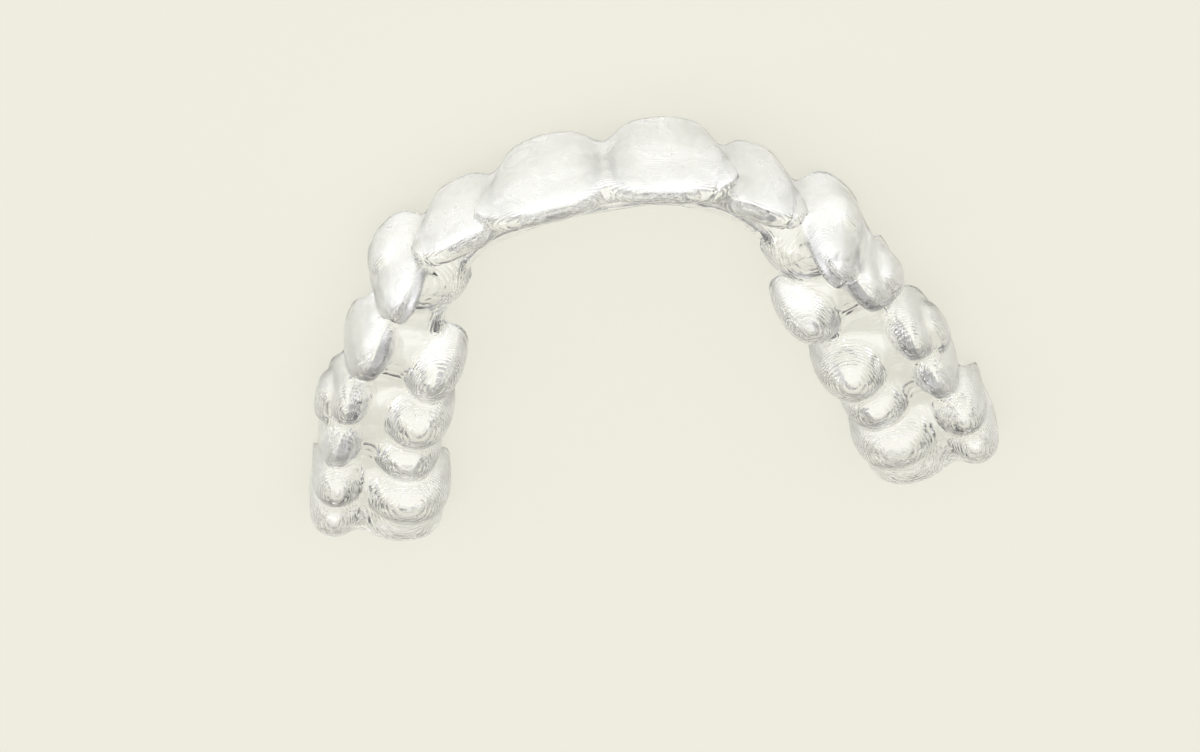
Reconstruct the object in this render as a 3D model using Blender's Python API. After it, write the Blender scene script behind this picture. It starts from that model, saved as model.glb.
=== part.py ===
"""A clear dental aligner for an upper arch of twelve teeth, as one thermoformed shell.

The sheet is drawn over a row of crowns, so the script first describes the crowns as a field of
distances, then finds two skins of that field along rays from a line inside the arch: the face
against the teeth and, one sheet thickness further out, the outer face. Both skins end at a
scalloped trim line and are joined there by the cut edge of the sheet.

Units are metres. The shell lies on its trimmed edge with the biting side up:
+Z towards the biting surfaces, +Y from the front teeth towards the molars, X across the arch.
"""

import math

import bmesh
import bpy
import numpy as np

# Sheet of plastic, as thick as it is left after forming
SHEET = 0.00062

# The teeth stand in the frame of the biting plane. The finished shell is then tipped back by
# this angle, so that it lies on the low points of its trim line at the canines and at the ends
REST_TILT = math.radians(4.0)
REST_DROP = -0.0005

# Ray origins: a line through the middles of the crowns
SPINE_HEIGHT_FRONT = 0.0036
SPINE_HEIGHT_BACK = 0.0052
SPINE_END_PAST_CENTRE = 0.0006
EDGE_RAY_TILT = math.radians(19)
TILT_START = 0.0165
TILT_END = 0.0215

# Blends between shapes
CROWN_BLEND = 0.0006
CUSP_BLEND = 0.0013
EDGE_ROUND = 0.0010
ATTACHMENT_BLEND = 0.00035

# Webs that close the gaps between crowns, as wax does before the sheet is drawn down
FRONT_WEB_DROP = 0.0037
CANINE_WEB_DROP = 0.0034
BACK_WEB_DROP = 0.0026
WEB_EDGE = 0.0012
INCISOR_WEB = 0.0015
CANINE_WEB = 0.0021
PREMOLAR_WEB = 0.0024
MOLAR_WEB = 0.0030

# Crowns: width along the arch, depth across it, height above the trim
CENTRAL_WIDTH = 0.0088
CENTRAL_DEPTH = 0.0062
CENTRAL_HEIGHT = 0.0094
LATERAL_WIDTH = 0.0065
LATERAL_DEPTH = 0.0056
LATERAL_HEIGHT = 0.0090
CANINE_WIDTH = 0.0074
CANINE_DEPTH = 0.0066
CANINE_HEIGHT = 0.0098
PREMOLAR_WIDTH = 0.0071
PREMOLAR_DEPTH = 0.0080
PREMOLAR_HEIGHT = 0.0090
MOLAR_1_WIDTH = 0.0108
MOLAR_1_DEPTH = 0.0092
MOLAR_1_HEIGHT = 0.0090
MOLAR_2_WIDTH = 0.0098
MOLAR_2_DEPTH = 0.0090
MOLAR_2_HEIGHT = 0.0085
INCISOR_EDGE = 0.0009
INCISOR_LEAN = 0.0010
INCISOR_BELLY = 0.0005
INCISOR_MIDDLE = 0.0026

# How far the lowest pit lies below the crown's top, and where the crown is widest
CANINE_FOSSA = 0.0034
PREMOLAR_FOSSA = 0.0022
MOLAR_1_FOSSA = 0.0025
MOLAR_2_FOSSA = 0.0023
CANINE_CONTOUR = 0.0034
PREMOLAR_CONTOUR = 0.0048
MOLAR_CONTOUR = 0.0052

# How fast the trim line rises from a crown towards the gap beside it
SCALLOP_SHARPNESS = 2.2

# Mesh: stations along the arch, fan at each end, rows from the trim line to the middle
STATIONS = 119
FAN_STEPS = 10
ROWS = 11
RAY_SAMPLES = 120
RAY_LOWEST = math.radians(-79)
RAY_REACH = 0.0125
BISECTIONS = 20

PLASTIC_COLOUR = (0.93, 0.94, 0.93, 1.0)
PLASTIC_ROUGHNESS = 0.08
PLASTIC_IOR = 1.5


class Blade:
    """An incisor: a crown that thins from a thick neck to a biting edge."""

    def __init__(self, width, depth, height, edge, neck, lean, belly, spine, web, web_drop):
        self.width = width
        self.depth = depth
        self.height = height
        self.edge = edge
        self.neck = neck
        self.lean = lean
        self.belly = belly
        self.inset = 0.0
        self.spine = spine
        self.web = web
        self.web_drop = web_drop

    def distance(self, u, v, w):
        side = self.side(u, v, w)
        step = 1e-5
        slope = (self.side(u, v, w + step) - side) / step
        side = side / np.sqrt(1.0 + slope * slope)
        top = w - self.crest(u)
        return smooth_max(side, top, EDGE_ROUND)

    def crest(self, u):
        """Height of the biting edge, which drops a little to both corners."""
        return self.height - 0.0005 * (2 * u / self.width) ** 4

    def side(self, u, v, w):
        t = np.clip(w / self.height, 0.0, 1.1)
        ease = 0.5 - 0.5 * np.cos(np.pi * np.clip(t / 0.97, 0, 1) ** 0.9)
        thick = self.depth + (self.edge - self.depth) * ease
        face = self.lean * (t - 1) + self.belly * np.sin(np.pi * np.clip(t, 0, 1))
        half = self.width / 2
        a = half * (self.neck + (1 - self.neck) * np.sin(np.pi / 2 * np.clip(t / 0.85, 0, 1)))
        b = thick / 2
        return oval_distance(u, v - face + b, a, b, 2.6)


class Lobed:
    """A canine, premolar or molar: one rounded lobe for each cusp around a lower core."""

    def __init__(self, width, depth, height, cusps, fossa, contour, web, web_drop):
        self.width = width
        self.depth = depth
        self.height = height
        self.cusps = cusps
        self.fossa = fossa
        self.contour = contour
        self.inset = cusps[0][1]
        self.spine = cusps[0][1]
        self.web = web
        self.web_drop = web_drop

    def distance(self, u, v, w):
        core_top = self.height - self.fossa
        found = lobe_distance(
            u, v, w, 0.40 * self.width, 0.40 * self.depth, self.contour, core_top
        )
        for cu, cv, drop, ru, rv in self.cusps:
            top = self.height - drop
            contour = min(self.contour, top - 0.001)
            lobe = lobe_distance(u - cu, v - cv, w, ru, rv, contour, top)
            found = smooth_min(found, lobe, CUSP_BLEND)
        return found


class Attachment:
    """A bonded button on the outer face of a crown, which the sheet is drawn over."""

    def __init__(self, u, v, w, length, height, proud, turn):
        self.u = u
        self.v = v
        self.w = w
        self.length = length
        self.height = height
        self.proud = proud
        self.turn = turn

    def distance(self, u, v, w):
        c, s = math.cos(self.turn), math.sin(self.turn)
        du, dw = u - self.u, w - self.w
        along, up = c * du + s * dw, -s * du + c * dw
        half, tall = self.length / 2, self.height / 2
        return ellipsoid_distance(along, v - self.v, up, half, self.proud, tall, 3.2)


def smooth_min(a, b, k):
    h = np.clip(1 - np.abs(a - b) / k, 0, 1)
    return np.minimum(a, b) - h * h * k / 4


def smooth_max(a, b, k):
    return -smooth_min(-a, -b, k)


def web_distance(points, start, end, radii, tops):
    """An upright wall between two points of the plan, as thick as the crowns it joins."""
    line = end - start
    offset = points[:, :2] - start
    share = np.clip(offset @ line / (line @ line), 0, 1)
    side = np.linalg.norm(offset - share[:, None] * line, axis=1)
    side = side - (radii[0] + (radii[1] - radii[0]) * share)
    top = tops[0] + (tops[1] - tops[0]) * share
    return smooth_max(side, points[:, 2] - top, WEB_EDGE)


def oval_distance(x, y, a, b, power):
    """Distance, to first order, from an upright superelliptic column of half axes a and b."""
    ax, ay = np.abs(x) / a, np.abs(y) / b
    rho = (ax**power + ay**power + 1e-12) ** (1 / power)
    gx = (ax / rho) ** (power - 1) / a
    gy = (ay / rho) ** (power - 1) / b
    return (rho - 1) / np.sqrt(gx * gx + gy * gy + 1e-9)


def ellipsoid_distance(x, y, z, a, b, c, power):
    ax, ay, az = np.abs(x) / a, np.abs(y) / b, np.abs(z) / c
    rho = (ax**power + ay**power + az**power + 1e-12) ** (1 / power)
    gx = (ax / rho) ** (power - 1) / a
    gy = (ay / rho) ** (power - 1) / b
    gz = (az / rho) ** (power - 1) / c
    return (rho - 1) / np.sqrt(gx * gx + gy * gy + gz * gz + 1e-9)


def lobe_distance(u, v, w, ru, rv, contour, top):
    """A lobe that is widest at its height of contour and narrows a little towards the gum."""
    rise = w - contour
    c = np.where(rise > 0, top - contour, 0.010)
    return ellipsoid_distance(u, v, rise, ru, rv, c, 2.25)


# Millimetres along, across and up each crown, as kept in the table of teeth
def mm(*values):
    return tuple(value / 1000 for value in values)


CENTRAL = Blade(
    CENTRAL_WIDTH, CENTRAL_DEPTH, CENTRAL_HEIGHT, INCISOR_EDGE, 0.78,
    INCISOR_LEAN, INCISOR_BELLY, INCISOR_MIDDLE, INCISOR_WEB, FRONT_WEB_DROP,
)
LATERAL = Blade(
    LATERAL_WIDTH, LATERAL_DEPTH, LATERAL_HEIGHT, INCISOR_EDGE, 0.76,
    INCISOR_LEAN, INCISOR_BELLY, INCISOR_MIDDLE, INCISOR_WEB, FRONT_WEB_DROP,
)
# Each cusp: along the arch, outwards, below the crown's top, then its two radii
CANINE = Lobed(
    CANINE_WIDTH, CANINE_DEPTH, CANINE_HEIGHT,
    [mm(0.0, 1.6, 0.0, 2.4, 0.9), mm(0.0, -1.4, 3.6, 2.9, 2.6)],
    CANINE_FOSSA, CANINE_CONTOUR, CANINE_WEB, CANINE_WEB_DROP,
)
PREMOLAR = Lobed(
    PREMOLAR_WIDTH, PREMOLAR_DEPTH, PREMOLAR_HEIGHT,
    [mm(0.0, 2.9, 0.1, 2.9, 1.1), mm(0.2, -2.9, 0.0, 3.1, 1.8)],
    PREMOLAR_FOSSA, PREMOLAR_CONTOUR, PREMOLAR_WEB, BACK_WEB_DROP,
)
MOLAR_1 = Lobed(
    MOLAR_1_WIDTH, MOLAR_1_DEPTH, MOLAR_1_HEIGHT,
    [mm(-2.7, 3.0, 0.6, 2.4, 1.1), mm(2.5, 3.0, 0.5, 2.4, 1.1),
     mm(-1.6, -3.0, 0.0, 3.0, 2.4), mm(3.4, -2.9, 0.7, 2.2, 2.3)],
    MOLAR_1_FOSSA, MOLAR_CONTOUR, MOLAR_WEB, BACK_WEB_DROP,
)
MOLAR_2 = Lobed(
    MOLAR_2_WIDTH, MOLAR_2_DEPTH, MOLAR_2_HEIGHT,
    [mm(-2.4, 3.1, 0.2, 2.3, 1.5), mm(2.0, 3.2, 0.8, 2.3, 1.5),
     mm(-1.0, -3.0, 0.0, 2.9, 3.1), mm(2.7, -2.8, 1.2, 2.2, 2.8)],
    MOLAR_2_FOSSA, MOLAR_CONTOUR, MOLAR_WEB, BACK_WEB_DROP,
)
ROW = [CENTRAL, LATERAL, CANINE, PREMOLAR, MOLAR_1, MOLAR_2]

# Where each tooth stands, from the midline back: distance across, distance back, and the angle
# in degrees from straight across to the row of teeth there, then the lift of its crown
TEETH = {
    -1: [(5.1, 0.3, 8, 0.0), (12.1, 3.9, 33, 0.0), (17.4, 10.3, 56, 0.6),
         (19.8, 14.8, 62, 0.0), (24.0, 24.2, 69, 0.0), (27.3, 33.9, 78, 0.0)],
    1: [(4.7, 0.7, 10, 0.0), (12.1, 3.6, 25, 0.0), (17.4, 8.7, 50, 0.4),
        (21.0, 16.0, 60, 0.0), (24.5, 24.0, 71, 0.0), (26.9, 33.8, 78, 0.0)],
}

# Trim line heights above the surface the shell lies on: at the middle of each tooth, then at
# the gap before each tooth and behind the last
OUTER_TRIM = {
    -1: mm(-0.2, 0.4, 0.3, 1.2, 1.3, -0.3),
    1: mm(-0.2, 0.8, 0.9, 1.2, 1.3, -0.3),
}
OUTER_NOTCH = mm(1.4, 1.5, 1.9, 2.5, 2.6, 2.0, 0.9)
INNER_TRIM = {
    -1: mm(3.0, 3.4, 3.2, 3.6, 1.6, -0.3),
    1: mm(3.0, 3.4, 3.2, 3.6, 1.6, -0.3),
}
INNER_NOTCH = mm(3.4, 3.6, 3.9, 4.2, 3.4, 1.8, 0.9)

CANINE_BUTTON = Attachment(*mm(0.1, 1.9, 3.8, 3.3, 3.4, 1.4), 0.0)
PREMOLAR_BUTTON = Attachment(*mm(1.2, 3.6, 6.0, 2.6, 3.2, 1.1), 0.0)
MOLAR_BUTTON = Attachment(*mm(-1.2, 3.8, 5.6, 3.8, 2.4, 1.2), 0.0)
BUTTONS = {
    -1: {2: CANINE_BUTTON, 3: PREMOLAR_BUTTON, 4: MOLAR_BUTTON},
    1: {2: CANINE_BUTTON, 4: MOLAR_BUTTON},
}


def placed(side, number):
    """A tooth's origin in plan, its directions away from the midline and outwards, its lift."""
    across, back, angle, lift = TEETH[side][number]
    c, s = math.cos(math.radians(angle)), math.sin(math.radians(angle))
    away = np.array([side * c, s])
    outward = np.array([side * s, -c])
    origin = np.array([side * across, back]) / 1000
    return origin, away, outward, lift / 1000


def spine_points():
    """Middles of the crowns from the -X end round to the +X end."""
    points = []
    for side, order in ((-1, range(5, -1, -1)), (1, range(6))):
        for number in order:
            origin, away, outward, lift = placed(side, number)
            points.append(origin - outward * ROW[number].spine)
    return points


def field(points):
    """Distance from the row of crowns, in metres: negative inside."""
    found = np.full(len(points), 1.0)
    for side in (-1, 1):
        for number, tooth in enumerate(ROW):
            origin, away, outward, lift = placed(side, number)
            offset = points[:, :2] - (origin - outward * tooth.inset)
            u, v, w = offset @ away, offset @ outward, points[:, 2] - lift
            near = np.hypot(u, v) < 0.014
            if not near.any():
                continue
            value = tooth.distance(u[near], v[near], w[near])
            button = BUTTONS[side].get(number)
            if button:
                bump = button.distance(u[near], v[near], w[near])
                value = smooth_min(value, bump, ATTACHMENT_BLEND)
            found[near] = smooth_min(found[near], value, CROWN_BLEND)
    middles = spine_points()
    teeth = ROW[::-1] + ROW
    for i in range(len(teeth) - 1):
        radii = (teeth[i].web, teeth[i + 1].web)
        tops = [tooth.height - tooth.web_drop for tooth in teeth[i : i + 2]]
        web = web_distance(points, middles[i], middles[i + 1], radii, tops)
        found = smooth_min(found, web, CROWN_BLEND)
    return found


def smoothstep(x, low, high):
    t = np.clip((x - low) / (high - low), 0, 1)
    return t * t * (3 - 2 * t)


def rounded_line(points, steps):
    """A smooth curve through the points, and where on it each of them lies."""
    first, last = 2 * points[0] - points[1], 2 * points[-1] - points[-2]
    padded = [first, *points, last]
    curve, marks = [], []
    t = np.linspace(0, 1, steps, endpoint=False)[:, None]
    for p0, p1, p2, p3 in zip(padded, padded[1:], padded[2:], padded[3:]):
        marks.append(len(curve) * steps)
        a = 2 * p1
        b = p2 - p0
        c = 2 * p0 - 5 * p1 + 4 * p2 - p3
        d = -p0 + 3 * p1 - 3 * p2 + p3
        curve.append(0.5 * (a + b * t + c * t * t + d * t**3))
    line = np.vstack([*curve, points[-1]])
    marks.append(len(line) - 1)
    return line, marks


class Spine:
    """The line of ray origins, with the places along it of the teeth and of the gaps."""

    def __init__(self):
        line, marks = rounded_line(spine_points(), 60)
        past = SPINE_END_PAST_CENTRE
        head = line[0] + (line[0] - line[1]) / np.linalg.norm(line[0] - line[1]) * past
        tail = line[-1] + (line[-1] - line[-2]) / np.linalg.norm(line[-1] - line[-2]) * past
        line = np.vstack([head, line, tail])
        steps = np.linalg.norm(np.diff(line, axis=0), axis=1)
        lengths = np.concatenate([[0], np.cumsum(steps)])
        self.middles = lengths[np.array(marks) + 1]
        self.line, self.lengths = line, lengths
        widths = [tooth.width for tooth in ROW[::-1] + ROW]
        inner = []
        for i in range(len(widths) - 1):
            share = widths[i] / (widths[i] + widths[i + 1])
            inner.append(self.middles[i] + share * (self.middles[i + 1] - self.middles[i]))
        half = ROW[-1].width / 2
        self.gaps = np.array([self.middles[0] - half, *inner, self.middles[-1] + half])

    def at(self, s):
        return np.stack([np.interp(s, self.lengths, self.line[:, k]) for k in (0, 1)], -1)

    def outward(self, s):
        reach = 0.0016
        run = self.at(s + reach) - self.at(s - reach)
        run = run / np.linalg.norm(run, axis=-1, keepdims=True)
        return np.stack([run[..., 1], -run[..., 0]], -1)

    def trim(self, s, levels, notches):
        """Height of the trim line at distances s: low at each tooth, high at each gap."""
        levels = np.array(levels[-1][::-1] + levels[1])
        notches = np.array(notches[:0:-1] + notches)
        number = np.clip(np.searchsorted(self.gaps, s) - 1, 0, len(levels) - 1)
        centre = self.middles[number]
        side = np.where(s < centre, number, number + 1)
        share = np.clip(np.abs(s - centre) / np.abs(self.gaps[side] - centre), 0, 1)
        rise = 0.5 - 0.5 * np.cos(np.pi * share**SCALLOP_SHARPNESS)
        return np.maximum(levels[number] + (notches[side] - levels[number]) * rise, 0.0)


def columns():
    """Ray origins, horizontal ray directions, ray tilt and trim heights, round the whole arch.

    The order is: outer side from the -X end to the +X end, fan, inner side back, fan."""
    spine = Spine()
    along = np.linspace(0, spine.lengths[-1], STATIONS)
    origin, outward = spine.at(along), spine.outward(along)
    height = SPINE_HEIGHT_FRONT + (SPINE_HEIGHT_BACK - SPINE_HEIGHT_FRONT) * np.clip(
        origin[:, 1] / 0.030, 0, 1
    )
    origin = np.column_stack([origin, height])
    middle = spine.lengths[-1] / 2
    tilt = EDGE_RAY_TILT * (1 - smoothstep(np.abs(along - middle), TILT_START, TILT_END))
    outer = spine.trim(along, OUTER_TRIM, OUTER_NOTCH)
    inner = spine.trim(along, INNER_TRIM, INNER_NOTCH)
    rows = [(origin[i], outward[i], tilt[i], outer[i], i) for i in range(STATIONS)]
    rows += fan(origin[-1], outward[-1], 1, outer[-1], inner[-1], STATIONS - 1)
    rows += [(origin[i], -outward[i], -tilt[i], inner[i], i) for i in reversed(range(STATIONS))]
    rows += fan(origin[0], outward[0], -1, outer[0], inner[0], 0)[::-1]
    return rows


def fan(origin, outward, side, outer, inner, station):
    """Directions that swing from the outer side round the end of the arch to the inner side."""
    distal = side * np.array([-outward[1], outward[0]])
    rows = []
    for step in range(1, FAN_STEPS):
        angle = math.pi * step / FAN_STEPS
        level = outer + (inner - outer) * step / FAN_STEPS
        level += (OUTER_NOTCH[-1] - level) * math.sin(angle)
        direction = math.cos(angle) * outward + math.sin(angle) * distal
        rows.append((origin, direction, 0.0, level, station))
    return rows


def tipped(points):
    """Points of the biting plane's frame in the frame of the shell at rest."""
    c, s = math.cos(REST_TILT), math.sin(REST_TILT)
    y = points[..., 1] * c + points[..., 2] * s
    z = points[..., 2] * c - points[..., 1] * s
    return np.stack([points[..., 0], y, z], -1)


def skin(rows, level):
    """Rows of points on the field's surface at one level, from the trim line to the middle."""
    share = np.linspace(0, 1, RAY_SAMPLES)
    origins = np.array([r[0] for r in rows])
    flat = np.array([[*r[1], 0.0] for r in rows])
    tilt = np.array([r[2] for r in rows])
    top = math.pi / 2 - tilt
    angle = RAY_LOWEST + (top[:, None] - RAY_LOWEST) * share
    rays = flat[:, None, :] * np.cos(angle)[..., None]
    rays[..., 2] += np.sin(angle)
    start = np.broadcast_to(origins[:, None, :], rays.shape).reshape(-1, 3)
    rays = rays.reshape(-1, 3)
    low = np.zeros(len(rays))
    high = np.full(len(rays), RAY_REACH)
    for _ in range(BISECTIONS):
        middle = (low + high) / 2
        inside = field(start + rays * middle[:, None]) < level
        low = np.where(inside, middle, low)
        high = np.where(inside, high, middle)
    return tipped((start + rays * low[:, None]).reshape(len(rows), RAY_SAMPLES, 3))


def resampled(line, trim):
    """The part of a section above the trim height, as ROWS equal steps."""
    first = np.nonzero(line[:, 2] < trim)[0][-1]
    share = (trim - line[first, 2]) / (line[first + 1, 2] - line[first, 2])
    cut = line[first] + share * (line[first + 1] - line[first])
    kept = np.vstack([cut, line[first + 1:]])
    lengths = np.concatenate([[0], np.cumsum(np.linalg.norm(np.diff(kept, axis=0), axis=1))])
    wanted = np.linspace(0, lengths[-1], ROWS + 1)
    return np.stack([np.interp(wanted, lengths, kept[:, k]) for k in range(3)], -1)


def add_skin(mesh, rows, points, outside):
    """Adds one skin's faces. Columns of one station share their middle vertex."""
    middles = {}
    grid = []
    for row, line in zip(rows, points):
        station = row[4]
        column = [mesh.verts.new(p) for p in line[:-1]]
        if station not in middles:
            middles[station] = mesh.verts.new(line[-1])
        column.append(middles[station])
        grid.append(column)
    for i in range(len(grid)):
        here, following = grid[i], grid[(i + 1) % len(grid)]
        for j in range(ROWS):
            corners = [here[j], following[j], following[j + 1], here[j + 1]]
            corners = [c for k, c in enumerate(corners) if c is not corners[k - 1]]
            mesh.faces.new(corners if outside else corners[::-1])
    return [column[0] for column in grid]


def aligner_mesh():
    rows = columns()
    trims = [row[3] - REST_DROP for row in rows]
    mesh = bmesh.new()
    edges = []
    origin = None
    for level, outside in ((SHEET, True), (0.0, False)):
        lines = skin(rows, level)
        points = np.array([resampled(line, trim) for line, trim in zip(lines, trims)])
        if origin is None:
            origin = (points.min((0, 1)) + points.max((0, 1))) / 2
            origin[2] = -REST_DROP
        edges.append(add_skin(mesh, rows, points - origin, outside))
    outer, inner = edges
    for i in range(len(rows)):
        j = (i + 1) % len(rows)
        mesh.faces.new([outer[j], outer[i], inner[i], inner[j]])
    bmesh.ops.triangulate(mesh, faces=mesh.faces[:])
    bmesh.ops.recalc_face_normals(mesh, faces=mesh.faces[:])
    data = bpy.data.meshes.new("aligner_shell")
    mesh.to_mesh(data)
    mesh.free()
    data.shade_smooth()
    return data


def clear_plastic():
    material = bpy.data.materials.new("clear_plastic")
    material.use_nodes = True
    shader = material.node_tree.nodes["Principled BSDF"]
    shader.inputs["Base Color"].default_value = PLASTIC_COLOUR
    shader.inputs["Roughness"].default_value = PLASTIC_ROUGHNESS
    shader.inputs["IOR"].default_value = PLASTIC_IOR
    shader.inputs["Metallic"].default_value = 0.0
    shader.inputs["Transmission Weight"].default_value = 1.0
    return material


def main():
    for obj in list(bpy.data.objects):
        bpy.data.objects.remove(obj)
    shell = bpy.data.objects.new("aligner_shell", aligner_mesh())
    bpy.context.scene.collection.objects.link(shell)
    shell.data.materials.append(clear_plastic())


main()
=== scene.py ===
"""The clear aligner as it is seen: the same formed shell as the CAD part, drawn finer, in clear
plastic that carries the faint steps of the printed mould it was drawn over.

The shell lies on its trimmed edge on a pale floor, biting side up. The camera looks from the
front and above with the front teeth at the top of the picture.
"""

import math

import bpy
import numpy as np
from mathutils import Matrix, Vector

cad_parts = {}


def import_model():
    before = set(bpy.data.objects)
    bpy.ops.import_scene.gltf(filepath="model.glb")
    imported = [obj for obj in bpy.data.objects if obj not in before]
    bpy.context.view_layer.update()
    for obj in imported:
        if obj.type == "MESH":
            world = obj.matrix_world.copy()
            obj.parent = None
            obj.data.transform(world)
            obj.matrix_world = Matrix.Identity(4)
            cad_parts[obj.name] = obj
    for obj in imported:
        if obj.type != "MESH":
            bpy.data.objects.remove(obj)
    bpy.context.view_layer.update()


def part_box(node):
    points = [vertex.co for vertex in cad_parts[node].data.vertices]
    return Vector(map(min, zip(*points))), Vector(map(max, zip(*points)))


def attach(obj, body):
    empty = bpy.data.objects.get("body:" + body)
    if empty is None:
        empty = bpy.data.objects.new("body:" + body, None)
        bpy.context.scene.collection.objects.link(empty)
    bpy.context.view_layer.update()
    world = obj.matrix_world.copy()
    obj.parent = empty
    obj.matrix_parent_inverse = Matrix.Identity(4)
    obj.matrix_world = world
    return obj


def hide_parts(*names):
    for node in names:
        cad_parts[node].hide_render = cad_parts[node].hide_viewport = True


# Sheet of plastic: its nominal thickness after forming
SHEET = 0.00062

# The teeth stand in the frame of the biting plane. The finished shell is then tipped back by
# this angle, so that it lies on the low points of its trim line at the incisors and at the ends
REST_TILT = math.radians(4.0)
REST_DROP = -0.0005

# Ray origins: a line through the middles of the crowns
SPINE_HEIGHT_FRONT = 0.0036
SPINE_HEIGHT_BACK = 0.0052
SPINE_END_PAST_CENTRE = 0.0006
EDGE_RAY_TILT = math.radians(19)
TILT_START = 0.0165
TILT_END = 0.0215

# Blends between shapes
CROWN_BLEND = 0.0006
CUSP_BLEND = 0.0013
EDGE_ROUND = 0.0010
ATTACHMENT_BLEND = 0.00035

# Webs that close the gaps between crowns, as wax does before the sheet is drawn down
FRONT_WEB_DROP = 0.0037
CANINE_WEB_DROP = 0.0034
BACK_WEB_DROP = 0.0026
WEB_EDGE = 0.0012
INCISOR_WEB = 0.0015
CANINE_WEB = 0.0021
PREMOLAR_WEB = 0.0024
MOLAR_WEB = 0.0030

# Crowns: width along the arch, depth across it, height above the trim
CENTRAL_WIDTH = 0.0088
CENTRAL_DEPTH = 0.0062
CENTRAL_HEIGHT = 0.0094
LATERAL_WIDTH = 0.0065
LATERAL_DEPTH = 0.0056
LATERAL_HEIGHT = 0.0090
CANINE_WIDTH = 0.0074
CANINE_DEPTH = 0.0066
CANINE_HEIGHT = 0.0098
PREMOLAR_WIDTH = 0.0071
PREMOLAR_DEPTH = 0.0080
PREMOLAR_HEIGHT = 0.0090
MOLAR_1_WIDTH = 0.0108
MOLAR_1_DEPTH = 0.0092
MOLAR_1_HEIGHT = 0.0090
MOLAR_2_WIDTH = 0.0098
MOLAR_2_DEPTH = 0.0090
MOLAR_2_HEIGHT = 0.0085
INCISOR_EDGE = 0.0009
INCISOR_LEAN = 0.0010
INCISOR_BELLY = 0.0005
INCISOR_MIDDLE = 0.0026

# How far the lowest pit lies below the crown's top, and where the crown is widest
CANINE_FOSSA = 0.0034
PREMOLAR_FOSSA = 0.0022
MOLAR_1_FOSSA = 0.0025
MOLAR_2_FOSSA = 0.0023
CANINE_CONTOUR = 0.0034
PREMOLAR_CONTOUR = 0.0048
MOLAR_CONTOUR = 0.0052

# How fast the trim line rises from a crown towards the gap beside it
SCALLOP_SHARPNESS = 2.2

# Mesh: stations along the arch, fan at each end, rows from the trim line to the middle
STATIONS = 360
FAN_STEPS = 26
ROWS = 44
RAY_SAMPLES = 200
RAY_LOWEST = math.radians(-79)
RAY_REACH = 0.0125
BISECTIONS = 15

# Camera, at the photograph's viewing angle
CAMERA_POSITION = (-0.01076, -0.18772, 0.21900)
CAMERA_FORWARD = (0.04801, 0.66355, -0.74659)
CAMERA_UP = (-0.11636, -0.73864, -0.66398)
CAMERA_LENS = 104.0
CAMERA_SENSOR = 36.0
CAMERA_NEAR = 0.005
CAMERA_FAR = 20.0

# Floor and light. The floor is a light table, which leaves little shade under clear plastic. The
# room is as pale as the floor at the horizon. Above that it is dim behind the shell and bright
# in front of it, under a wide bright ceiling: the dim part draws the outlines of clear plastic
FLOOR_SIZE = 40.0
FLOOR_DROP = 0.00002
FLOOR_ROUGHNESS = 0.9
FLOOR_COLOUR = (0.092, 0.091, 0.079)
FLOOR_GLOW = (0.655, 0.648, 0.566)
HORIZON_COLOUR = (0.855, 0.847, 0.738)
DIM_COLOUR = (0.020, 0.014, 0.004)
FRONT_COLOUR = (2.4, 2.42, 2.54)
CEILING_COLOUR = (2.9, 2.9, 3.05)
HORIZON_TOP = math.sin(math.radians(6))
DIM_BOTTOM = math.sin(math.radians(9))
DIM_TOP = math.sin(math.radians(42))
CEILING_BOTTOM = math.sin(math.radians(54))
# Where the bright front gives way to the dim back, along Y
BACK_START = -0.1
BACK_FULL = 0.25
# Name, place, size and power of each lamp
SOFTBOXES = (
    ("front", (0.1, -0.55, 0.8), (0.25, 0.12), 1.2),
    ("left", (0.7, 0.25, 0.6), (0.12, 0.3), 1.2),
)

PLASTIC_COLOUR = (0.988, 0.986, 0.972, 1)
PLASTIC_IOR = 1.48

# Printed mould: height of one layer, and how deep the grooves between layers are
LAYER_HEIGHT = 0.00019
LAYER_DEPTH = 0.000034

# Fine grain of the sheet, in patches
GRAIN_SCALE = 2600.0
PATCH_SCALE = 260.0
GRAIN_DEPTH = 0.000014
GRAIN_DETAIL = 2.0
GRAIN_RANGE = (0.2, 0.8)
GRAIN_PATCHES = (0.45, 0.65)

# Haze and painted sheen, most on the front teeth: partly the sheet's real slight frosting, partly
# a painted whitening of the faces that the front light falls on
HAZE_AND_SHEEN_FRONT = -0.006
HAZE_AND_SHEEN_BACK = 0.002
SIDE_HAZE_AND_SHEEN = 0.42
FRONT_FACING = (-0.35, -0.75)
SIDE_STEEPNESS = (0.85, 0.35)
HAZE_AND_SHEEN_PATCHES = (0.3, 0.7)
LEAST_HAZE_AND_SHEEN = 0.55
CLEAR_ROUGHNESS = 0.04
HAZE_AND_SHEEN_ROUGHNESS = 0.28
CLEAR_SHARE = 0.97
HAZE_AND_SHEEN_SHARE = 0.66


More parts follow.
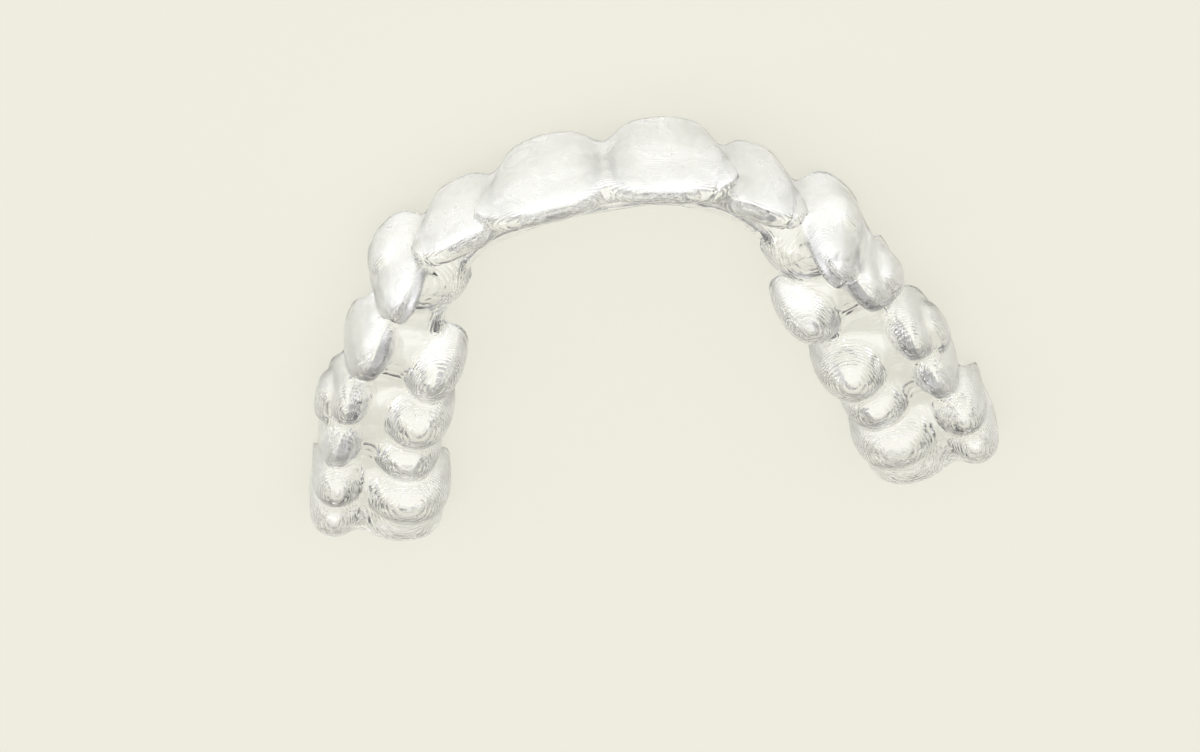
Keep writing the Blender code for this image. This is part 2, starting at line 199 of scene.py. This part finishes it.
class Blade:
    """An incisor: a crown that thins from a thick neck to a biting edge."""

    def __init__(self, width, depth, height, edge, neck, lean, belly, spine, web, web_drop):
        self.width = width
        self.depth = depth
        self.height = height
        self.edge = edge
        self.neck = neck
        self.lean = lean
        self.belly = belly
        self.inset = 0.0
        self.spine = spine
        self.web = web
        self.web_drop = web_drop

    def distance(self, u, v, w):
        side = self.side(u, v, w)
        step = 1e-5
        slope = (self.side(u, v, w + step) - side) / step
        side = side / np.sqrt(1.0 + slope * slope)
        top = w - self.crest(u)
        return smooth_max(side, top, EDGE_ROUND)

    def crest(self, u):
        """Height of the biting edge, which drops a little to both corners."""
        return self.height - 0.0005 * (2 * u / self.width) ** 4

    def side(self, u, v, w):
        t = np.clip(w / self.height, 0.0, 1.1)
        ease = 0.5 - 0.5 * np.cos(np.pi * np.clip(t / 0.97, 0, 1) ** 0.9)
        thick = self.depth + (self.edge - self.depth) * ease
        face = self.lean * (t - 1) + self.belly * np.sin(np.pi * np.clip(t, 0, 1))
        half = self.width / 2
        a = half * (self.neck + (1 - self.neck) * np.sin(np.pi / 2 * np.clip(t / 0.85, 0, 1)))
        b = thick / 2
        return oval_distance(u, v - face + b, a, b, 2.6)


class Lobed:
    """A canine, premolar or molar: one rounded lobe for each cusp around a lower core."""

    def __init__(self, width, depth, height, cusps, fossa, contour, web, web_drop):
        self.width = width
        self.depth = depth
        self.height = height
        self.cusps = cusps
        self.fossa = fossa
        self.contour = contour
        self.inset = cusps[0][1]
        self.spine = cusps[0][1]
        self.web = web
        self.web_drop = web_drop

    def distance(self, u, v, w):
        core_top = self.height - self.fossa
        found = lobe_distance(
            u, v, w, 0.40 * self.width, 0.40 * self.depth, self.contour, core_top
        )
        for cu, cv, drop, ru, rv in self.cusps:
            top = self.height - drop
            contour = min(self.contour, top - 0.001)
            lobe = lobe_distance(u - cu, v - cv, w, ru, rv, contour, top)
            found = smooth_min(found, lobe, CUSP_BLEND)
        return found


class Attachment:
    """A bonded button on the outer face of a crown, which the sheet is drawn over."""

    def __init__(self, u, v, w, length, height, proud, turn):
        self.u = u
        self.v = v
        self.w = w
        self.length = length
        self.height = height
        self.proud = proud
        self.turn = turn

    def distance(self, u, v, w):
        c, s = math.cos(self.turn), math.sin(self.turn)
        du, dw = u - self.u, w - self.w
        along, up = c * du + s * dw, -s * du + c * dw
        half, tall = self.length / 2, self.height / 2
        return ellipsoid_distance(along, v - self.v, up, half, self.proud, tall, 3.2)


def smooth_min(a, b, k):
    h = np.clip(1 - np.abs(a - b) / k, 0, 1)
    return np.minimum(a, b) - h * h * k / 4


def smooth_max(a, b, k):
    return -smooth_min(-a, -b, k)


def web_distance(points, start, end, radii, tops):
    """An upright wall between two points of the plan, as thick as the crowns it joins."""
    line = end - start
    offset = points[:, :2] - start
    share = np.clip(offset @ line / (line @ line), 0, 1)
    side = np.linalg.norm(offset - share[:, None] * line, axis=1)
    side = side - (radii[0] + (radii[1] - radii[0]) * share)
    top = tops[0] + (tops[1] - tops[0]) * share
    return smooth_max(side, points[:, 2] - top, WEB_EDGE)


def oval_distance(x, y, a, b, power):
    """Distance, to first order, from an upright superelliptic column of half axes a and b."""
    ax, ay = np.abs(x) / a, np.abs(y) / b
    rho = (ax**power + ay**power + 1e-12) ** (1 / power)
    gx = (ax / rho) ** (power - 1) / a
    gy = (ay / rho) ** (power - 1) / b
    return (rho - 1) / np.sqrt(gx * gx + gy * gy + 1e-9)


def ellipsoid_distance(x, y, z, a, b, c, power):
    ax, ay, az = np.abs(x) / a, np.abs(y) / b, np.abs(z) / c
    rho = (ax**power + ay**power + az**power + 1e-12) ** (1 / power)
    gx = (ax / rho) ** (power - 1) / a
    gy = (ay / rho) ** (power - 1) / b
    gz = (az / rho) ** (power - 1) / c
    return (rho - 1) / np.sqrt(gx * gx + gy * gy + gz * gz + 1e-9)


def lobe_distance(u, v, w, ru, rv, contour, top):
    """A lobe that is widest at its height of contour and narrows a little towards the gum."""
    rise = w - contour
    c = np.where(rise > 0, top - contour, 0.010)
    return ellipsoid_distance(u, v, rise, ru, rv, c, 2.25)


# Millimetres along, across and up each crown, as kept in the table of teeth
def mm(*values):
    return tuple(value / 1000 for value in values)


CENTRAL = Blade(
    CENTRAL_WIDTH, CENTRAL_DEPTH, CENTRAL_HEIGHT, INCISOR_EDGE, 0.78,
    INCISOR_LEAN, INCISOR_BELLY, INCISOR_MIDDLE, INCISOR_WEB, FRONT_WEB_DROP,
)
LATERAL = Blade(
    LATERAL_WIDTH, LATERAL_DEPTH, LATERAL_HEIGHT, INCISOR_EDGE, 0.76,
    INCISOR_LEAN, INCISOR_BELLY, INCISOR_MIDDLE, INCISOR_WEB, FRONT_WEB_DROP,
)
# Each cusp: along the arch, outwards, below the crown's top, then its two radii
CANINE = Lobed(
    CANINE_WIDTH, CANINE_DEPTH, CANINE_HEIGHT,
    [mm(0.0, 1.6, 0.0, 2.4, 0.9), mm(0.0, -1.4, 3.6, 2.9, 2.6)],
    CANINE_FOSSA, CANINE_CONTOUR, CANINE_WEB, CANINE_WEB_DROP,
)
PREMOLAR = Lobed(
    PREMOLAR_WIDTH, PREMOLAR_DEPTH, PREMOLAR_HEIGHT,
    [mm(0.0, 2.9, 0.1, 2.9, 1.1), mm(0.2, -2.9, 0.0, 3.1, 1.8)],
    PREMOLAR_FOSSA, PREMOLAR_CONTOUR, PREMOLAR_WEB, BACK_WEB_DROP,
)
MOLAR_1 = Lobed(
    MOLAR_1_WIDTH, MOLAR_1_DEPTH, MOLAR_1_HEIGHT,
    [mm(-2.7, 3.0, 0.6, 2.4, 1.1), mm(2.5, 3.0, 0.5, 2.4, 1.1),
     mm(-1.6, -3.0, 0.0, 3.0, 2.4), mm(3.4, -2.9, 0.7, 2.2, 2.3)],
    MOLAR_1_FOSSA, MOLAR_CONTOUR, MOLAR_WEB, BACK_WEB_DROP,
)
MOLAR_2 = Lobed(
    MOLAR_2_WIDTH, MOLAR_2_DEPTH, MOLAR_2_HEIGHT,
    [mm(-2.4, 3.1, 0.2, 2.3, 1.5), mm(2.0, 3.2, 0.8, 2.3, 1.5),
     mm(-1.0, -3.0, 0.0, 2.9, 3.1), mm(2.7, -2.8, 1.2, 2.2, 2.8)],
    MOLAR_2_FOSSA, MOLAR_CONTOUR, MOLAR_WEB, BACK_WEB_DROP,
)
ROW = [CENTRAL, LATERAL, CANINE, PREMOLAR, MOLAR_1, MOLAR_2]

# Where each tooth stands, from the midline back: distance across, distance back, and the angle
# in degrees from straight across to the row of teeth there, then the lift of its crown
TEETH = {
    -1: [(5.1, 0.3, 8, 0.0), (12.1, 3.9, 33, 0.0), (17.4, 10.3, 56, 0.6),
         (19.8, 14.8, 62, 0.0), (24.0, 24.2, 69, 0.0), (27.3, 33.9, 78, 0.0)],
    1: [(4.7, 0.7, 10, 0.0), (12.1, 3.6, 25, 0.0), (17.4, 8.7, 50, 0.4),
        (21.0, 16.0, 60, 0.0), (24.5, 24.0, 71, 0.0), (26.9, 33.8, 78, 0.0)],
}

# Trim line heights above the surface the shell lies on: at the middle of each tooth, then at
# the gap before each tooth and behind the last
OUTER_TRIM = {
    -1: mm(-0.2, 0.4, 0.3, 1.2, 1.3, -0.3),
    1: mm(-0.2, 0.8, 0.9, 1.2, 1.3, -0.3),
}
OUTER_NOTCH = mm(1.4, 1.5, 1.9, 2.5, 2.6, 2.0, 0.9)
INNER_TRIM = {
    -1: mm(3.0, 3.4, 3.2, 3.6, 1.6, -0.3),
    1: mm(3.0, 3.4, 3.2, 3.6, 1.6, -0.3),
}
INNER_NOTCH = mm(3.4, 3.6, 3.9, 4.2, 3.4, 1.8, 0.9)

CANINE_BUTTON = Attachment(*mm(0.1, 1.9, 3.8, 3.3, 3.4, 1.4), 0.0)
PREMOLAR_BUTTON = Attachment(*mm(1.2, 3.6, 6.0, 2.6, 3.2, 1.1), 0.0)
MOLAR_BUTTON = Attachment(*mm(-1.2, 3.8, 5.6, 3.8, 2.4, 1.2), 0.0)
BUTTONS = {
    -1: {2: CANINE_BUTTON, 3: PREMOLAR_BUTTON, 4: MOLAR_BUTTON},
    1: {2: CANINE_BUTTON, 4: MOLAR_BUTTON},
}


def placed(side, number):
    """A tooth's origin in plan, its directions away from the midline and outwards, its lift."""
    across, back, angle, lift = TEETH[side][number]
    c, s = math.cos(math.radians(angle)), math.sin(math.radians(angle))
    away = np.array([side * c, s])
    outward = np.array([side * s, -c])
    origin = np.array([side * across, back]) / 1000
    return origin, away, outward, lift / 1000


def spine_points():
    """Middles of the crowns from the -X end round to the +X end."""
    points = []
    for side, order in ((-1, range(5, -1, -1)), (1, range(6))):
        for number in order:
            origin, away, outward, lift = placed(side, number)
            points.append(origin - outward * ROW[number].spine)
    return points


def field(points):
    """Distance from the row of crowns, in metres: negative inside."""
    found = np.full(len(points), 1.0)
    for side in (-1, 1):
        for number, tooth in enumerate(ROW):
            origin, away, outward, lift = placed(side, number)
            offset = points[:, :2] - (origin - outward * tooth.inset)
            u, v, w = offset @ away, offset @ outward, points[:, 2] - lift
            near = np.hypot(u, v) < 0.014
            if not near.any():
                continue
            value = tooth.distance(u[near], v[near], w[near])
            button = BUTTONS[side].get(number)
            if button:
                bump = button.distance(u[near], v[near], w[near])
                value = smooth_min(value, bump, ATTACHMENT_BLEND)
            found[near] = smooth_min(found[near], value, CROWN_BLEND)
    middles = spine_points()
    teeth = ROW[::-1] + ROW
    for i in range(len(teeth) - 1):
        radii = (teeth[i].web, teeth[i + 1].web)
        tops = [tooth.height - tooth.web_drop for tooth in teeth[i : i + 2]]
        web = web_distance(points, middles[i], middles[i + 1], radii, tops)
        found = smooth_min(found, web, CROWN_BLEND)
    return found


def smoothstep(x, low, high):
    t = np.clip((x - low) / (high - low), 0, 1)
    return t * t * (3 - 2 * t)


def rounded_line(points, steps):
    """A smooth curve through the points, and where on it each of them lies."""
    first, last = 2 * points[0] - points[1], 2 * points[-1] - points[-2]
    padded = [first, *points, last]
    curve, marks = [], []
    t = np.linspace(0, 1, steps, endpoint=False)[:, None]
    for p0, p1, p2, p3 in zip(padded, padded[1:], padded[2:], padded[3:]):
        marks.append(len(curve) * steps)
        a = 2 * p1
        b = p2 - p0
        c = 2 * p0 - 5 * p1 + 4 * p2 - p3
        d = -p0 + 3 * p1 - 3 * p2 + p3
        curve.append(0.5 * (a + b * t + c * t * t + d * t**3))
    line = np.vstack([*curve, points[-1]])
    marks.append(len(line) - 1)
    return line, marks


class Spine:
    """The line of ray origins, with the places along it of the teeth and of the gaps."""

    def __init__(self):
        line, marks = rounded_line(spine_points(), 60)
        past = SPINE_END_PAST_CENTRE
        head = line[0] + (line[0] - line[1]) / np.linalg.norm(line[0] - line[1]) * past
        tail = line[-1] + (line[-1] - line[-2]) / np.linalg.norm(line[-1] - line[-2]) * past
        line = np.vstack([head, line, tail])
        steps = np.linalg.norm(np.diff(line, axis=0), axis=1)
        lengths = np.concatenate([[0], np.cumsum(steps)])
        self.middles = lengths[np.array(marks) + 1]
        self.line, self.lengths = line, lengths
        widths = [tooth.width for tooth in ROW[::-1] + ROW]
        inner = []
        for i in range(len(widths) - 1):
            share = widths[i] / (widths[i] + widths[i + 1])
            inner.append(self.middles[i] + share * (self.middles[i + 1] - self.middles[i]))
        half = ROW[-1].width / 2
        self.gaps = np.array([self.middles[0] - half, *inner, self.middles[-1] + half])

    def at(self, s):
        return np.stack([np.interp(s, self.lengths, self.line[:, k]) for k in (0, 1)], -1)

    def outward(self, s):
        reach = 0.0016
        run = self.at(s + reach) - self.at(s - reach)
        run = run / np.linalg.norm(run, axis=-1, keepdims=True)
        return np.stack([run[..., 1], -run[..., 0]], -1)

    def trim(self, s, levels, notches):
        """Height of the trim line at distances s: low at each tooth, high at each gap."""
        levels = np.array(levels[-1][::-1] + levels[1])
        notches = np.array(notches[:0:-1] + notches)
        number = np.clip(np.searchsorted(self.gaps, s) - 1, 0, len(levels) - 1)
        centre = self.middles[number]
        side = np.where(s < centre, number, number + 1)
        share = np.clip(np.abs(s - centre) / np.abs(self.gaps[side] - centre), 0, 1)
        rise = 0.5 - 0.5 * np.cos(np.pi * share**SCALLOP_SHARPNESS)
        return np.maximum(levels[number] + (notches[side] - levels[number]) * rise, 0.0)


def columns():
    """Ray origins, horizontal ray directions, ray tilt and trim heights, round the whole arch.

    The order is: outer side from the -X end to the +X end, fan, inner side back, fan."""
    spine = Spine()
    along = np.linspace(0, spine.lengths[-1], STATIONS)
    origin, outward = spine.at(along), spine.outward(along)
    height = SPINE_HEIGHT_FRONT + (SPINE_HEIGHT_BACK - SPINE_HEIGHT_FRONT) * np.clip(
        origin[:, 1] / 0.030, 0, 1
    )
    origin = np.column_stack([origin, height])
    middle = spine.lengths[-1] / 2
    tilt = EDGE_RAY_TILT * (1 - smoothstep(np.abs(along - middle), TILT_START, TILT_END))
    outer = spine.trim(along, OUTER_TRIM, OUTER_NOTCH)
    inner = spine.trim(along, INNER_TRIM, INNER_NOTCH)
    rows = [(origin[i], outward[i], tilt[i], outer[i], i) for i in range(STATIONS)]
    rows += fan(origin[-1], outward[-1], 1, outer[-1], inner[-1], STATIONS - 1)
    rows += [(origin[i], -outward[i], -tilt[i], inner[i], i) for i in reversed(range(STATIONS))]
    rows += fan(origin[0], outward[0], -1, outer[0], inner[0], 0)[::-1]
    return rows


def fan(origin, outward, side, outer, inner, station):
    """Directions that swing from the outer side round the end of the arch to the inner side."""
    distal = side * np.array([-outward[1], outward[0]])
    rows = []
    for step in range(1, FAN_STEPS):
        angle = math.pi * step / FAN_STEPS
        level = outer + (inner - outer) * step / FAN_STEPS
        level += (OUTER_NOTCH[-1] - level) * math.sin(angle)
        direction = math.cos(angle) * outward + math.sin(angle) * distal
        rows.append((origin, direction, 0.0, level, station))
    return rows


def tipped(points):
    """Points of the biting plane's frame in the frame of the shell at rest."""
    c, s = math.cos(REST_TILT), math.sin(REST_TILT)
    y = points[..., 1] * c + points[..., 2] * s
    z = points[..., 2] * c - points[..., 1] * s
    return np.stack([points[..., 0], y, z], -1)


def skin(rows, level):
    """Rows of points on the field's surface at one level, from the trim line to the middle."""
    share = np.linspace(0, 1, RAY_SAMPLES)
    origins = np.array([r[0] for r in rows])
    flat = np.array([[*r[1], 0.0] for r in rows])
    tilt = np.array([r[2] for r in rows])
    top = math.pi / 2 - tilt
    angle = RAY_LOWEST + (top[:, None] - RAY_LOWEST) * share
    rays = flat[:, None, :] * np.cos(angle)[..., None]
    rays[..., 2] += np.sin(angle)
    start = np.broadcast_to(origins[:, None, :], rays.shape).reshape(-1, 3)
    rays = rays.reshape(-1, 3)
    low = np.zeros(len(rays))
    high = np.full(len(rays), RAY_REACH)
    for _ in range(BISECTIONS):
        middle = (low + high) / 2
        inside = field(start + rays * middle[:, None]) < level
        low = np.where(inside, middle, low)
        high = np.where(inside, high, middle)
    return tipped((start + rays * low[:, None]).reshape(len(rows), RAY_SAMPLES, 3))


def resampled(line, trim):
    """The part of a section above the trim height, as ROWS equal steps."""
    first = np.nonzero(line[:, 2] < trim)[0][-1]
    share = (trim - line[first, 2]) / (line[first + 1, 2] - line[first, 2])
    cut = line[first] + share * (line[first + 1] - line[first])
    kept = np.vstack([cut, line[first + 1:]])
    lengths = np.concatenate([[0], np.cumsum(np.linalg.norm(np.diff(kept, axis=0), axis=1))])
    wanted = np.linspace(0, lengths[-1], ROWS + 1)
    return np.stack([np.interp(wanted, lengths, kept[:, k]) for k in range(3)], -1)


def shell_mesh():
    """The shell's two skins and its cut edge, as one closed mesh in the row frame."""
    rows = columns()
    trims = [row[3] - REST_DROP for row in rows]
    verts, faces, edges = [], [], []
    for level, outside in ((SHEET, True), (0.0, False)):
        lines = skin(rows, level)
        points = [resampled(line, trim) for line, trim in zip(lines, trims)]
        middles = {}
        grid = []
        for row, line in zip(rows, points):
            column = list(range(len(verts), len(verts) + ROWS))
            verts.extend(line[:-1])
            if row[4] not in middles:
                middles[row[4]] = len(verts)
                verts.append(line[-1])
            grid.append(column + [middles[row[4]]])
        for i in range(len(grid)):
            here, following = grid[i], grid[(i + 1) % len(grid)]
            for j in range(ROWS):
                face = [here[j], following[j], following[j + 1], here[j + 1]]
                face = list(dict.fromkeys(face))
                faces.append(face if outside else face[::-1])
        edges.append([column[0] for column in grid])
    outer, inner = edges
    for i in range(len(outer)):
        j = (i + 1) % len(outer)
        faces.append([outer[j], outer[i], inner[i], inner[j]])
    return np.array(verts), faces


def fitted(points, low, high):
    """The points, moved and scaled a touch so that they fill the CAD part's own box."""
    start, end = points.min(0), points.max(0)
    scale = (np.array(high) - np.array(low)) / (end - start)
    return (points - start) * scale + np.array(low)


def node(tree, kind, **values):
    made = tree.nodes.new(kind)
    for name, value in values.items():
        setattr(made, name, value)
    return made


def mapped(tree, source, low, high, start=0.0, end=1.0):
    """A value that runs from start to end while the source runs from low to high."""
    made = node(tree, "ShaderNodeMapRange", interpolation_type="SMOOTHSTEP")
    for name, value in zip(("From Min", "From Max", "To Min", "To Max"), (low, high, start, end)):
        made.inputs[name].default_value = value
    tree.links.new(source, made.inputs["Value"])
    return made.outputs["Result"]


def product(tree, first, second):
    made = node(tree, "ShaderNodeMath", operation="MULTIPLY")
    tree.links.new(first, made.inputs[0])
    if isinstance(second, float):
        made.inputs[1].default_value = second
    else:
        tree.links.new(second, made.inputs[1])
    return made.outputs[0]


def noise(tree, coordinates, scale, detail):
    made = node(tree, "ShaderNodeTexNoise")
    made.inputs["Scale"].default_value = scale
    made.inputs["Detail"].default_value = detail
    tree.links.new(coordinates.outputs["Object"], made.inputs["Vector"])
    return made.outputs["Fac"]


def haze_and_painted_sheen(tree, place, facing, patches):
    """Haze and painted sheen: full on the front faces of the front teeth, weaker down all other
    sides. Partly the sheet's real frosting, partly painted light on the faces that turn to the
    front light.
    """
    front = mapped(tree, facing.outputs["Y"], *FRONT_FACING)
    near = mapped(tree, place.outputs["Y"], HAZE_AND_SHEEN_BACK, HAZE_AND_SHEEN_FRONT)
    steep = node(tree, "ShaderNodeMath", operation="ABSOLUTE")
    tree.links.new(facing.outputs["Z"], steep.inputs[0])
    side = mapped(tree, steep.outputs[0], *SIDE_STEEPNESS, 0.0, SIDE_HAZE_AND_SHEEN)
    most = node(tree, "ShaderNodeMath", operation="MAXIMUM")
    tree.links.new(product(tree, front, near), most.inputs[0])
    tree.links.new(side, most.inputs[1])
    return product(tree, most.outputs[0], mapped(tree, patches, *HAZE_AND_SHEEN_PATCHES, LEAST_HAZE_AND_SHEEN, 1.0))


def bumped(tree, height, depth, under=None):
    bump = node(tree, "ShaderNodeBump")
    bump.inputs["Strength"].default_value = 1.0
    bump.inputs["Distance"].default_value = depth
    tree.links.new(height, bump.inputs["Height"])
    if under:
        tree.links.new(under, bump.inputs["Normal"])
    return bump.outputs["Normal"]


def layer_grooves(tree, place):
    """Grooves between the printed mould's layers, so rings around each cusp."""
    turns = product(tree, place.outputs["Z"], math.pi / LAYER_HEIGHT)
    wave = node(tree, "ShaderNodeMath", operation="SINE")
    tree.links.new(turns, wave.inputs[0])
    groove = node(tree, "ShaderNodeMath", operation="ABSOLUTE")
    tree.links.new(wave.outputs[0], groove.inputs[0])
    return groove.outputs[0]


def clear_plastic():
    material = bpy.data.materials.new("clear_plastic")
    material.use_nodes = True
    tree = material.node_tree
    shader = tree.nodes["Principled BSDF"]
    shader.inputs["Base Color"].default_value = PLASTIC_COLOUR
    shader.inputs["IOR"].default_value = PLASTIC_IOR
    coordinates = node(tree, "ShaderNodeTexCoord")
    place, facing = (node(tree, "ShaderNodeSeparateXYZ") for _ in range(2))
    tree.links.new(coordinates.outputs["Object"], place.inputs[0])
    tree.links.new(coordinates.outputs["Normal"], facing.inputs[0])
    patches = noise(tree, coordinates, PATCH_SCALE, GRAIN_DETAIL)
    # Painted sheen and haze: where the mask is high the skin lets less light through and shows
    # more white, which whitens the faces the front light falls on
    haze_and_sheen = haze_and_painted_sheen(tree, place, facing, patches)
    rough = mapped(tree, haze_and_sheen, 0, 1, CLEAR_ROUGHNESS, HAZE_AND_SHEEN_ROUGHNESS)
    share = mapped(tree, haze_and_sheen, 0, 1, CLEAR_SHARE, HAZE_AND_SHEEN_SHARE)
    tree.links.new(rough, shader.inputs["Roughness"])
    tree.links.new(share, shader.inputs["Transmission Weight"])
    grain = noise(tree, coordinates, GRAIN_SCALE, GRAIN_DETAIL)
    grain = mapped(tree, grain, *GRAIN_RANGE, -0.5, 0.5)
    grain = product(tree, grain, mapped(tree, patches, *GRAIN_PATCHES))
    normal = bumped(tree, layer_grooves(tree, place), LAYER_DEPTH)
    normal = bumped(tree, grain, GRAIN_DEPTH, normal)
    tree.links.new(normal, shader.inputs["Normal"])
    return material


def add_shell(material):
    low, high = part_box("aligner_shell")
    points, faces = shell_mesh()
    points = fitted(points, low, high)
    mesh = bpy.data.meshes.new("aligner_sheet")
    mesh.from_pydata(points.tolist(), [], faces)
    mesh.shade_smooth()
    shell = bpy.data.objects.new("aligner_sheet", mesh)
    bpy.context.scene.collection.objects.link(shell)
    shell.data.materials.append(material)
    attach(shell, "root")
    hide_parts("aligner_shell")
    return shell


def add_floor():
    bpy.ops.mesh.primitive_plane_add(size=FLOOR_SIZE, location=(0, 0, -FLOOR_DROP))
    floor = bpy.context.object
    floor.name = "floor"
    material = bpy.data.materials.new("floor")
    material.use_nodes = True
    shader = material.node_tree.nodes["Principled BSDF"]
    shader.inputs["Base Color"].default_value = (*FLOOR_COLOUR, 1)
    shader.inputs["Roughness"].default_value = FLOOR_ROUGHNESS
    shader.inputs["Specular IOR Level"].default_value = 0.0
    shader.inputs["Emission Color"].default_value = (*FLOOR_GLOW, 1)
    shader.inputs["Emission Strength"].default_value = 1.0
    floor.data.materials.append(material)


def add_camera():
    camera = bpy.data.cameras.new("camera")
    camera.sensor_width = CAMERA_SENSOR
    camera.lens = CAMERA_LENS
    camera.clip_start = CAMERA_NEAR
    camera.clip_end = CAMERA_FAR
    seat = bpy.data.objects.new("camera", camera)
    forward = Vector(CAMERA_FORWARD).normalized()
    right = forward.cross(Vector(CAMERA_UP)).normalized()
    up = right.cross(forward)
    turn = Matrix((right, up, -forward)).transposed()
    seat.matrix_world = Matrix.Translation(CAMERA_POSITION) @ turn.to_4x4()
    bpy.context.scene.collection.objects.link(seat)
    bpy.context.scene.camera = seat


def add_softbox(name, position, size, watts):
    light = bpy.data.lights.new(name, "AREA")
    light.shape = "RECTANGLE"
    light.size, light.size_y = size
    light.energy = watts
    lamp = bpy.data.objects.new(name, light)
    lamp.location = position
    lamp.rotation_euler = (-Vector(position)).to_track_quat("-Z", "Y").to_euler()
    bpy.context.scene.collection.objects.link(lamp)


def mixed(tree, factor, below, above):
    """One colour below and another above; each is three numbers or another node's output."""
    mix = node(tree, "ShaderNodeMix", data_type="RGBA")
    tree.links.new(factor, mix.inputs["Factor"])
    for socket, colour in ((mix.inputs[6], below), (mix.inputs[7], above)):
        if isinstance(colour, tuple):
            socket.default_value = (*colour, 1)
        else:
            tree.links.new(colour, socket)
    return mix.outputs[2]


def add_light():
    world = bpy.data.worlds.new("studio")
    bpy.context.scene.world = world
    world.use_nodes = True
    tree = world.node_tree
    coordinates = node(tree, "ShaderNodeTexCoord")
    split = node(tree, "ShaderNodeSeparateXYZ")
    tree.links.new(coordinates.outputs["Generated"], split.inputs[0])
    up = split.outputs["Z"]
    behind = mapped(tree, split.outputs["Y"], BACK_START, BACK_FULL)
    middle = mixed(tree, behind, FRONT_COLOUR, DIM_COLOUR)
    room = mixed(tree, mapped(tree, up, HORIZON_TOP, DIM_BOTTOM), HORIZON_COLOUR, middle)
    room = mixed(tree, mapped(tree, up, DIM_TOP, CEILING_BOTTOM), room, CEILING_COLOUR)
    tree.links.new(room, tree.nodes["Background"].inputs["Color"])
    bpy.context.scene.view_settings.view_transform = "Standard"
    for softbox in SOFTBOXES:
        add_softbox(*softbox)


def main():
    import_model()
    add_shell(clear_plastic())
    add_floor()
    add_camera()
    add_light()


main()
